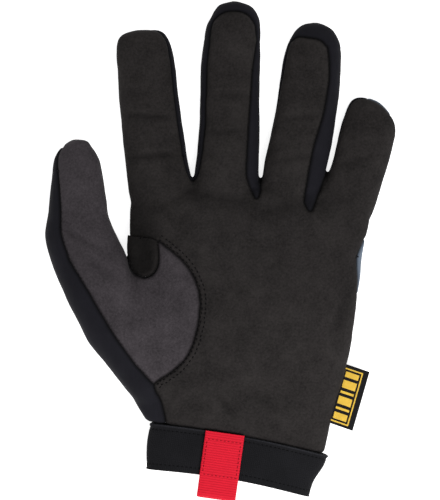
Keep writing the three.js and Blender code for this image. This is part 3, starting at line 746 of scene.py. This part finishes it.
def press_seams_and_folds(skin, away, sizes):
    """Draws the cloth in along its seams, creases it and lets it wave a little; returns the creases' depths."""
    mesh = skin.data
    points, normals = coordinates(mesh), normals_of(mesh)
    skirt = SKIRT_DEPTH * bell(away, SKIRT_WIDTH * sizes.seam_width)
    depth = sizes.seam_depth * bell(away, sizes.seam_width) + sizes.seam_depth * skirt
    upper = np.clip(normals[:, 2] * 2, 0, 1)
    folds = np.zeros(len(points))
    for row in CREASES:
        crease = dict(zip(CREASE, row))
        offset = points[:, :2] - place(crease["x"], crease["y"])
        ahead, beside = axes(math.radians(crease["turn"]))
        along = offset @ ahead / (crease["half_length"] * MM)
        across = offset @ beside / (crease["width"] * MM)
        shape = bell(across, 1) - RIDGE_HEIGHT * bell(np.abs(across) - RIDGE_PLACE, 1)
        fold = crease["depth"] * shape * np.exp(-along ** 4) * upper
        depth += fold * MM
        folds = np.maximum(folds, fold)
    depth += POCKET["depth"] * MM * pocket_share(points) * upper
    wave = np.array([noise.noise(Vector(p) / LONG_WAVE) + SHORT_SHARE * noise.noise(Vector(p) / SHORT_WAVE)
                     for p in points])
    depth += wave * sizes.wave * (1 - CALM * bell(away, CALM_WIDTH * MM))
    points = points - normals * depth[:, None]
    points[:, 2] = np.maximum(points[:, 2], HAIR * MM)
    set_coordinates(mesh, points)
    return folds


def painted_panel_shade(cloth, points, normals, away, folds, sizes):
    """How dark the painted shade makes the cloth: at its seams, in its creases and pocket, and on the low sides
    of black cloth.
    """
    dark = np.maximum(bell(away, sizes.seam_width), FOLD_SHADE * folds)
    if cloth == "palm_suede":
        dark = np.maximum(dark, POCKET_SHADE * pocket_share(points, POCKET_WIDER, POCKET_LONGER))
    if cloth == "black_stretch":
        low_side = bell(points[:, 2], LOW_HEIGHT * MM) * (normals[:, 2] > LOW_TILT)
        dark = np.maximum(dark, LOW_SHADE * low_side)
    return dark


def cut_panel(skin, chosen, name, away, folds, sizes):
    """One panel of the skin as a cloth of its own, with a wall."""
    used, inverse = np.unique(np.concatenate(chosen), return_inverse=True)
    ends = np.cumsum([len(c) for c in chosen])[:-1]
    points, normals, away = coordinates(skin.data)[used], normals_of(skin.data)[used], away[used]
    panel = new_object(name, points, np.split(inverse, ends), material_of(PANELS[name]))
    # The attribute "seam" keeps the panel's painted shade
    mark_points(panel.data, "seam", painted_panel_shade(PANELS[name], points, normals, away, folds[used], sizes))
    outwards(panel)
    keys, counts = np.unique([e for p in panel.data.polygons for e in p.edge_keys], axis=0, return_counts=True)
    rim = np.unique(keys[counts == 1])
    points = coordinates(panel.data)
    step = relax(points, edges_of(panel.data), 1, 1.0)[rim] - points[rim]
    length = np.linalg.norm(step, axis=1, keepdims=True)
    points[rim] += step / np.maximum(length, TINY) * sizes.seam_gap * (away[rim] < MM)[:, None]
    set_coordinates(panel.data, points)
    modify(panel, "SOLIDIFY", thickness=sizes.wall, offset=-1.0, use_even_offset=False)
    triangles = sum(len(face.vertices) - 2 for face in panel.data.polygons)
    if triangles > MOST_TRIANGLES:
        modify(panel, "DECIMATE", ratio=MOST_TRIANGLES / triangles)
    finish_piece(panel, PANELS[name], name, angle=55)


class GLOVE_OT_hand(Operator):
    """Make the cloth panels of the hand and their seam stitches"""
    bl_idname = "glove.hand"
    bl_label = "Hand"

    def execute(self, context):
        sizes = context.scene.glove_sizes
        skin = make_skin(sizes)
        names = list(PANELS)
        labels = label_faces(skin, names)
        away = straighten_seams(skin, labels, names)
        folds = press_seams_and_folds(skin, away, sizes)
        vertices, _, totals = face_corners(skin.data)
        corners = np.split(vertices, np.cumsum(totals)[:-1])
        for number, name in enumerate(names):
            chosen = [corners[i] for i in np.flatnonzero(labels == number)]
            cut_panel(skin, chosen, name, away, folds, sizes)
        sew_panels(skin, labels, names)
        bpy.data.objects.remove(skin)
        return {"FINISHED"}


# Stitches

# Half of a stitch of length 1: place along it, radius and height, from its end
STITCH = ((-0.5, 0.4, -1.1), (-0.38, 0.85, -0.4), (-0.15, 1.0, 0.0))
STITCH_SIDES = 6


def capsule():
    """A stitch of length 1 and radius 1 along X that dips at both ends."""
    angle = 2 * math.pi * np.arange(STITCH_SIDES) / STITCH_SIDES
    rings = [np.column_stack([np.full(STITCH_SIDES, along), size * np.cos(angle), size * np.sin(angle) + lift])
             for along, size, lift in STITCH + tuple((-a, s, l) for a, s, l in reversed(STITCH))]
    points, faces = loft(rings)
    return np.array(points), faces


def stitches(name, seats, length, radius, slot_name, material):
    """Stitches at seats, each given by its place, direction and the normal of the cloth."""
    shape, faces = capsule()
    shape = shape * (length, radius, radius)
    points = [middle + shape @ np.array([along, np.cross(up, along), up]) for middle, along, up in seats]
    all_faces = [tuple(base * len(shape) + i for i in face) for base in range(len(seats)) for face in faces]
    make_piece(name, np.concatenate(points), all_faces, material, slot_name, angle=50)


def chains(edges):
    """Edges joined end to end, the longest first."""
    near = {}
    for a, b in edges:
        near.setdefault(int(a), []).append(int(b))
        near.setdefault(int(b), []).append(int(a))
    unused = set(near)
    found = []
    while unused:
        ends = [v for v in unused if len(near[v]) == 1]
        current = min(ends) if ends else min(unused)
        chain = [current]
        unused.discard(current)
        while True:
            step = [v for v in near[current] if v in unused]
            if not step:
                break
            current = min(step)
            chain.append(current)
            unused.discard(current)
        found.append(chain)
    return sorted(found, key=len, reverse=True)


def run_of(path):
    """The distance along a path at each of its points."""
    return np.concatenate([[0], np.cumsum(np.linalg.norm(np.diff(path, axis=0), axis=1))])


def along_path(at, run, values):
    """Values kept for the points of a path, read at other distances along it."""
    return np.column_stack([np.interp(at, run, values[:, c]) for c in range(values.shape[1])])


def evenly(path, pitch):
    """Points at an even pitch along a path, with the directions there."""
    run = run_of(path)
    at = np.arange(pitch / 2, run[-1], pitch)
    along = along_path(at + pitch / 2, run, path) - along_path(at - pitch / 2, run, path)
    along /= np.maximum(np.linalg.norm(along, axis=1, keepdims=True), TINY)
    return zip(along_path(at, run, path), along)


# Rows of stitches: a panel, its neighbour, how far into the panel, pitch, length and radius in millimetres
SEWN = ("panel", "neighbour", "inset", "pitch", "length", "radius")
FINE = (0.8, 2.2, 0.9, 0.11)
ROWS = (
    ("palm_panel", "thumb_panel", 1.3, 2.1, 1.25, 0.27), ("palm_panel", "thumb_panel", 3.2, 2.1, 1.25, 0.27),
) + tuple(("palm_panel", neighbour) + FINE for neighbour in (
    "fourchette_index_middle", "fourchette_middle_ring", "fourchette_ring_little",
    "middle_back", "ring_back", "hand_back",
)) + (("thumb_panel", "thumb_back") + FINE,)
# Fewest points of a seam that is sewn, how far beside it its panel is looked for, how far a stitch
# stands out, and how much its cloth has to face up
FEWEST, BESIDE, STANDING, FACING_UP = 12, 1.5, 0.5, 0.5


def sew_panels(skin, labels, names):
    """Rows of stitches beside the seams that show."""
    mesh = skin.data
    edges, points, tree = edges_of(mesh), coordinates(mesh), surface(mesh)
    sides = np.sort(labels[edge_faces(mesh)], axis=1)
    seats = {}
    for row in ROWS:
        sewn = dict(zip(SEWN, row))
        panel = names.index(sewn["panel"])
        both = np.all(sides == sorted((panel, names.index(sewn["neighbour"]))), axis=1)
        for chain in chains(edges[both]):
            if len(chain) < FEWEST:
                continue
            steps = np.arange(len(chain) - 1)
            path = relax(points[chain], np.column_stack([steps, steps + 1]), PATH_ROUNDS)
            for spot, direction in evenly(path, sewn["pitch"] * MM):
                side = np.cross(np.array(tree.find_nearest(spot)[1]), direction)
                if labels[tree.find_nearest(spot + side * BESIDE * MM)[2]] != panel:
                    side = -side
                seat, up, _, _ = tree.find_nearest(spot + side * sewn["inset"] * MM)
                if up[2] < FACING_UP:
                    continue
                seat, up = np.array(seat), np.array(up)
                direction = direction - up * (direction @ up)
                direction = direction / np.linalg.norm(direction)
                places = seats.setdefault((sewn["length"], sewn["radius"]), [])
                places.append((seat + up * STANDING * sewn["radius"] * MM, direction, up))
    for number, ((length, radius), places) in enumerate(sorted(seats.items())):
        stitches(f"seam_stitches_{number + 1}", places, length * MM, radius * MM, "palm_suede", "thread")


# Cuff, pull loop and label

# What stands out of the cuff's plain shape, or lies in it, in millimetres: height, distance below the
# wrist seam and width of the welt, its seam, the seam of the hem and the top edge
CUFF_RELIEF = ((0.55, 1.0, 0.8), (-0.35, 2.7, 0.6), (-0.22, CUFF_HEIGHT - 2.6, 0.5), (-0.7, -0.1, 0.45))
CUFF_SUNK, HEM_RISE = 0.45, 0.4
PUCKER = dict(height=0.22, spacing=1.6, change=7.3, place=2.7, width=1.6)
CUFF_WAVE = dict(height=0.3, spacing=11.0, change=2.0)
# The rolled edge at the hem: shares of the wall inwards and of the roll downwards
HEM_ROLL, HEM_SHARE = ((0.15, 0.7), (0.5, 1.0), (0.85, 0.7)), 0.45
# Its stitches: pitch, length and radius, and the height above which they are sewn
CUFF_PITCH, CUFF_STITCH, CUFF_THREAD, CUFF_FACE = 2.1, 1.4, 0.22, 6


def cuff_ring(table, i, inset, relief):
    """A section of the cuff, pulled in by inset."""
    left = cuff_point(table["left_across"][i] * CUFF_WIDTH + inset, table["left_down"][i] * CUFF_HEIGHT)
    right = cuff_point(table["right_across"][i] * CUFF_WIDTH - inset, table["right_down"][i] * CUFF_HEIGHT)
    centre = CUFF_DEPTH / 2 - REST_FLAT
    section = ring(left, right, centre, CUFF_DEPTH / 2 - inset, CUFF_SIDES, CUFF_FULLNESS)
    middle = (left + right) / 2
    outward = section - np.append(middle, centre)
    outward /= np.linalg.norm(outward, axis=1, keepdims=True)
    share = table["row"][i] / (len(CUFF_ROWS) - 1)
    across = (section[:, :2] - middle) @ CUFF_SIDE
    section[:, :2] -= np.multiply.outer(wrist_rise(across) * (1 + HEM_RISE * share), CUFF_FALL)
    if inset == 0:
        pucker = [noise.noise(Vector((a / PUCKER["spacing"], PUCKER["change"] * share, 0.0))) for a in across]
        wave = [noise.noise(Vector((a / CUFF_WAVE["spacing"], CUFF_WAVE["change"] * share, 5.0)))
                for a in across]
        gathered = PUCKER["height"] * bell(share * CUFF_HEIGHT - PUCKER["place"], PUCKER["width"])
        relief = relief + np.array(pucker) * gathered + np.array(wave) * CUFF_WAVE["height"]
    section += outward * np.broadcast_to(relief, len(section))[:, None]
    section[:, 2] = np.maximum(section[:, 2], HAIR)
    return section


class GLOVE_OT_cuff(Operator):
    """Make the cuff band with its welt, its hem and their stitches"""
    bl_idname = "glove.cuff"
    bl_label = "Cuff"

    def execute(self, context):
        rows = [(i,) + row for i, row in enumerate(CUFF_ROWS)]
        table = fair(columns(("row",) + CUFF_SECTION, rows), "row", CUFF_STEPS)
        last = len(table["row"]) - 1
        down = table["row"] / (len(CUFF_ROWS) - 1) * CUFF_HEIGHT
        relief = sum(height * bell(down - at, width) for height, at, width in CUFF_RELIEF) - CUFF_SUNK
        rings = [cuff_ring(table, i, 0, relief[i]) for i in range(last + 1)]
        wall = context.scene.glove_sizes.cuff_wall / MM
        fall = np.append(CUFF_FALL, 0) * wall * HEM_SHARE
        rings += [cuff_ring(table, last, wall * inwards, 0) + fall * below for inwards, below in HEM_ROLL]
        rings += [cuff_ring(table, i, wall, 0) for i in range(last, -1, -4)]
        points, faces = loft(rings, closed=False)
        top = (len(rings) - 1) * CUFF_SIDES
        faces += [(top + i, top + (i + 1) % CUFF_SIDES, (i + 1) % CUFF_SIDES, i) for i in range(CUFF_SIDES)]
        # A painted highlight along the cuff's raised welt, kept below zero in the attribute "seam", lightens
        # the cuff's colour there
        welt_highlight = WELT_HIGHLIGHT * bell(down - WELT_HIGHLIGHT_PLACE, WELT_HIGHLIGHT_WIDTH)
        welt_highlight = np.append(welt_highlight, np.zeros(len(rings) - len(welt_highlight)))
        band = make_piece("cuff_band", in_frame(points), faces, "cuff_knit", "cuff_knit", "cuff", angle=60,
                          seam=np.repeat(welt_highlight, CUFF_SIDES))
        tree = surface(band.data)
        seats = []
        for _, at, _ in CUFF_RELIEF[1:3]:
            path = in_frame(rings[int(round(at / CUFF_HEIGHT * last))])
            path = path[path[:, 2] > CUFF_FACE * MM]
            for spot, direction in evenly(path[np.argsort(path[:, 0])], CUFF_PITCH * MM):
                seat, up, _, _ = tree.find_nearest(spot)
                seats.append((np.array(seat) + np.array(up) * HAIR * MM, direction, np.array(up)))
        stitches("cuff_stitches", seats, CUFF_STITCH * MM, CUFF_THREAD * MM, "cuff_knit", "thread")
        return {"FINISHED"}


# Pull loop: the strap's run from the wrist seam over the cuff, round the fold and back inside
LOOP_WIDTH, LOOP_THICKNESS, LOOP_REACH, LOOP_TUCK = 19.0, 1.2, 9.5, 9.0
LOOP_OFFSET, LOOP_TURN = -6.5, math.radians(2.5)
SEAM_GAP, CUFF_WALL = 0.3, 2.0
LOOP_SIDES, LOOP_STEP = 56, 0.28
# Roundness of the strap's edges and of its faces, and the ribs across it
EDGE_POWER, FACE_POWER = 2 / 9, 2 / 3
RIB_HEIGHT, RIB_PITCH = 0.07, 1.15
# Stitches on the strap: two rows across it and two along it, each as down and across at both ends
LOOP_SEAM, LOOP_TOP, LOOP_LOW = 8.2, 1.6, CUFF_HEIGHT - 2.2
LOOP_ROWS = [((down, down), (-LOOP_SEAM, LOOP_SEAM)) for down in (LOOP_TOP, LOOP_LOW)]
LOOP_ROWS += [((LOOP_TOP + 1, LOOP_LOW - 1), (across, across)) for across in (-LOOP_SEAM, LOOP_SEAM)]
LOOP_PITCH, LOOP_STITCH, LOOP_THREAD = 1.9, 1.35, 0.2


def loop_run():
    """The middle line of the strap as places (down, up), in millimetres, and the direction out of its face."""
    top = CUFF_DEPTH - REST_FLAT + SEAM_GAP + LOOP_THICKNESS / 2
    radius = (CUFF_WALL + 2.5 * SEAM_GAP + LOOP_THICKNESS) / 2
    drop = CUFF_HEIGHT + LOOP_REACH - radius - LOOP_THICKNESS / 2
    flat = np.linspace(-WRIST_BULGE, drop, 110)
    turn = np.linspace(math.pi / 2, -math.pi / 2, 24)[1:-1]
    back = np.linspace(drop, CUFF_HEIGHT - LOOP_TUCK, 60)
    line = [(d, top) for d in flat]
    line += [(drop + radius * math.cos(a), top - radius + radius * math.sin(a)) for a in turn]
    line += [(d, top - 2 * radius) for d in back]
    out = [(0.0, 1.0)] * len(flat) + [(math.cos(a), math.sin(a)) for a in turn] + [(0.0, -1.0)] * len(back)
    return np.array(line), np.array(out)


def loop_place(down, across, up):
    """A place on the strap, in millimetres from the middle of the wrist seam."""
    side, fall = axes(CUFF_SLOPE + LOOP_TURN)
    flat = cuff_point(LOOP_OFFSET, 0) + np.multiply.outer(across, side) + np.multiply.outer(down, fall)
    return np.column_stack([flat, up])


class GLOVE_OT_loop(Operator):
    """Make the red pull loop and its stitches"""
    bl_idname = "glove.loop"
    bl_label = "Pull loop"

    def execute(self, context):
        line, out = loop_run()
        run = run_of(line)
        at = np.linspace(0, run[-1], int(run[-1] / LOOP_STEP))
        angle = 2 * math.pi * np.arange(LOOP_SIDES) / LOOP_SIDES
        across = rounded(np.cos(angle), EDGE_POWER) * LOOP_WIDTH / 2
        level = rounded(np.sin(angle), FACE_POWER) * LOOP_THICKNESS / 2
        rings, strip = [], []
        for s, m, f in zip(at, along_path(at, run, line), along_path(at, run, out)):
            rib = RIB_HEIGHT * math.sin(2 * math.pi * s / RIB_PITCH)
            high = level + np.sign(level) * rib * np.minimum(1, np.abs(level) * 4)
            places = m + np.multiply.outer(high, f)
            rings.append(loop_place(places[:, 0], across, places[:, 1]))
            strip.append(np.column_stack([across, np.full(LOOP_SIDES, s), level]) * MM)
        points, faces = loft(rings)
        make_piece("pull_strap", in_frame(points), faces, "red_webbing", "red_webbing", "pull_loop", angle=60,
                   strip=np.concatenate(strip))
        top = line[0, 1] + LOOP_THICKNESS / 2
        seats = []
        for row in LOOP_ROWS:
            ends = in_frame(loop_place(*row, (top, top)))
            seats += [(spot, direction, np.array([0, 0, 1.0]))
                      for spot, direction in evenly(ends, LOOP_PITCH * MM)]
        stitches("loop_stitches", seats, LOOP_STITCH * MM, LOOP_THREAD * MM, "red_webbing", "red_thread")
        return {"FINISHED"}


# Corners of the label in the photograph, in pixels: top inner, top outer, bottom outer, bottom inner
LABEL_CORNERS = ((342.0, 362.5), (369.5, 371.8), (352.5, 430.8), (325.0, 421.0))
LABEL_LEVEL, LABEL_THICKNESS, LABEL_WIDTH, LABEL_LENGTH = 9.5, 0.9, 12.5, 29
LABEL_BEVEL, LABEL_GRID = 0.25, (25, 41)
# Its curl: height, turn and start of the wave along it, and the drop of its outer edge
CURL_HEIGHT, CURL_TURN, CURL_START, EDGE_DROP = 0.5, 2.6, 0.4, 0.9

# Raised yarn on the label: start and end across it and along it, as shares, its height and the material
LABEL_MARKS = (
    (0.10, 0.80, 0.055, 0.955, 0.10, "label_ribbon"), (0.145, 0.755, 0.078, 0.932, 0.18, "label_ground"),
) + tuple((0.21, 0.69, top, bottom, 0.26, "label_ribbon") for top, bottom in (
    (0.11, 0.20), (0.25, 0.38), (0.43, 0.47), (0.52, 0.65), (0.70, 0.74), (0.79, 0.90)))


def label_place(u, v, up):
    """A place on the label, u across it from the hand and v down along it, in metres."""
    corners = np.array([place(*corner) for corner in LABEL_CORNERS])
    weights = np.column_stack([(1 - u) * (1 - v), u * (1 - v), u * v, (1 - u) * v])
    curl = (CURL_HEIGHT * np.sin(v * CURL_TURN + CURL_START) - EDGE_DROP * u ** 2) * MM
    return np.column_stack([weights @ corners, LABEL_LEVEL * MM + curl + up])


def label_sheet(name, left, right, top, bottom, low, high, material, *nodes):
    """A thin pad on the label between two levels, with rounded edges."""
    rows, cols = LABEL_GRID
    u, v = np.meshgrid(np.linspace(left, right, rows), np.linspace(top, bottom, cols), indexing="ij")
    bevel = LABEL_BEVEL * (high - low)
    points, strip = [], []
    for level, inset in ((low, bevel), (low + bevel, 0), (high - bevel, 0), (high, bevel)):
        u_in, v_in = inset / (LABEL_WIDTH * MM), inset / (LABEL_LENGTH * MM)
        a, b = np.clip(u, left + u_in, right - u_in).ravel(), np.clip(v, top + v_in, bottom - v_in).ravel()
        points.append(label_place(a, b, level))
        strip.append(np.column_stack([a * LABEL_WIDTH * MM, b * LABEL_LENGTH * MM, np.full(u.size, level)]))
    rim = [i * cols for i in range(rows)] + [(rows - 1) * cols + j for j in range(1, cols)]
    rim += [i * cols + cols - 1 for i in range(rows - 2, -1, -1)] + list(range(cols - 2, 0, -1))
    count, faces = u.size, []
    for i in range(rows - 1):
        for a in range(i * cols, i * cols + cols - 1):
            faces.append((a, a + 1, a + cols + 1, a + cols))
            faces.append(tuple(3 * count + k for k in (a, a + cols, a + cols + 1, a + 1)))
    for near in range(0, 3 * count, count):
        far = near + count
        faces += [(near + a, near + b, far + b, far + a) for a, b in zip(rim, rim[1:] + rim[:1])]
    make_piece(name, np.concatenate(points), faces, material, "label_ribbon", *nodes, angle=40,
               strip=np.concatenate(strip))


class GLOVE_OT_label(Operator):
    """Make the woven side label with its plain bars"""
    bl_idname = "glove.label"
    bl_label = "Side label"

    def execute(self, context):
        half = LABEL_THICKNESS / 2 * MM
        label_sheet("label_tab", 0, 1, 0, 1, -half, half, "label_ground", "side_label")
        for number, (left, right, top, bottom, rise, material) in enumerate(LABEL_MARKS):
            label_sheet(f"label_mark_{number + 1}", left, right, top, bottom, half - HAIR * MM,
                        half + rise * MM, material)
        return {"FINISHED"}


# Stage: each light's name, size in metres, power in watts and place
LIGHTS = (("key_light", 0.4, 3.4, (0.20, -0.34, 0.50)), ("fill_light", 0.9, 0.9, (-0.55, 0.45, 0.9)))
FLOOR_SIZE, NEAREST_SEEN, SENSOR = 4, 0.01, 36


def area_light(name, size, energy, location):
    """A soft square light that points at the middle of the glove."""
    light = bpy.data.lights.new(name, "AREA")
    light.shape, light.size, light.energy = "SQUARE", size, energy
    lamp = bpy.data.objects.new(name, light)
    bpy.context.collection.objects.link(lamp)
    lamp.location = location
    lamp.rotation_euler = (-Vector(location)).to_track_quat("-Z", "Y").to_euler()


class GLOVE_OT_stage(Operator):
    """Set up the floor, the soft lights and the camera over the glove"""
    bl_idname = "glove.stage"
    bl_label = "Stage"

    def execute(self, context):
        scene = context.scene
        bpy.ops.object.select_all(action="DESELECT")
        bpy.ops.mesh.primitive_plane_add(size=FLOOR_SIZE)
        floor = context.active_object
        floor.name = "floor"
        floor.data.materials.append(material_of("floor"))
        world = bpy.data.worlds.new("studio")
        scene.world = world
        world.use_nodes = True
        background = world.node_tree.nodes["Background"]
        background.inputs["Color"].default_value = (1, 1, 1, 1)
        background.inputs["Strength"].default_value = scene.glove_sizes.sky
        for light in LIGHTS:
            area_light(*light)
        lens = bpy.data.cameras.new("camera")
        lens.lens, lens.sensor_fit, lens.sensor_height = scene.glove_sizes.lens, "VERTICAL", SENSOR
        lens.clip_start = NEAREST_SEEN
        camera = bpy.data.objects.new("camera", lens)
        context.collection.objects.link(camera)
        camera.location = (*place(*PHOTO_MIDDLE), scene.glove_sizes.camera_height)
        scene.camera = camera
        scene.view_settings.view_transform = "Standard"
        scene.view_settings.look = "None"
        return {"FINISHED"}


# Settings and panel

def length(name, description, default):
    """A length that a user may change."""
    return FloatProperty(name=name, description=description, default=default, unit="LENGTH", precision=5)


def color(name, description, default):
    """A colour that a user may change, as seen on screen."""
    return FloatVectorProperty(name=name, description=description, default=default, subtype="COLOR_GAMMA",
                               size=3, min=0, max=1)


class GloveSizes(PropertyGroup):
    voxel: length("Mesh size", "Spacing of the cloth mesh", 0.00062)
    wall: length("Cloth wall", "Thickness of the cloth", 0.0011)
    cuff_wall: length("Cuff wall", "Thickness of the cuff band", 0.0017)
    seam_depth: length("Seam depth", "How far the cloth draws in at a seam", 0.0006)
    seam_width: length("Seam width", "Half width of the drawn-in cloth", 0.0008)
    seam_gap: length("Seam gap", "Space between a panel and its seam", 0.00005)
    wave: length("Wave", "Height of the waves in the cloth", 0.00036)
    camera_height: length("Camera height", "Height of the camera over the floor", 0.893)
    lens: FloatProperty(name="Lens", description="Focal length in millimetres", default=130)
    sky: FloatProperty(name="Sky", description="Strength of the even light", default=0.45)


class GloveColors(PropertyGroup):
    palm: color("Palm suede", "Suede of the palm and fingers", (0.150, 0.140, 0.138))
    thumb: color("Thumb suede", "Suede of the thumb panel", (0.224, 0.208, 0.220))
    stretch: color("Black stretch", "Stretch cloth of the sides", (0.092, 0.090, 0.112))
    back: color("Back", "Stretch cloth of the back", (0.394, 0.436, 0.49))
    cuff: color("Cuff", "Cloth of the cuff", (0.085, 0.085, 0.095))
    webbing: color("Webbing", "Pull loop and its thread", (0.81, 0.08, 0.17))
    label: color("Label yarn", "Light yarn of the label", (0.88, 0.72, 0.27))
    label_ground: color("Label ground", "Dark yarn of the label", (0.045, 0.045, 0.055))
    thread: color("Thread", "Thread of the seams", (0.035, 0.035, 0.04))
    floor: color("Floor", "Floor under the glove", (0.97, 0.97, 0.97))


class GLOVE_PT_panel(Panel):
    bl_idname = "GLOVE_PT_panel"
    bl_label = "Glove"
    bl_space_type = "VIEW_3D"
    bl_region_type = "UI"
    bl_category = "Glove"

    def draw(self, context):
        for group in (context.scene.glove_sizes, context.scene.glove_colors):
            box = self.layout.box()
            for name in group.__annotations__:
                box.prop(group, name)
        for operator in OPERATORS:
            self.layout.operator(operator.bl_idname)


OPERATORS = (GLOVE_OT_stage, GLOVE_OT_hand, GLOVE_OT_cuff, GLOVE_OT_loop, GLOVE_OT_label)
CLASSES = (GloveSizes, GloveColors) + OPERATORS + (GLOVE_PT_panel,)


def register():
    for cls in CLASSES:
        bpy.utils.register_class(cls)
    bpy.types.Scene.glove_sizes = PointerProperty(type=GloveSizes)
    bpy.types.Scene.glove_colors = PointerProperty(type=GloveColors)


def unregister():
    del bpy.types.Scene.glove_colors
    del bpy.types.Scene.glove_sizes
    for cls in reversed(CLASSES):
        bpy.utils.unregister_class(cls)


def main():
    register()
    bpy.ops.glove.stage()
    bpy.ops.glove.hand()
    bpy.ops.glove.cuff()
    bpy.ops.glove.loop()
    bpy.ops.glove.label()


if __name__ == "__main__":
    main()
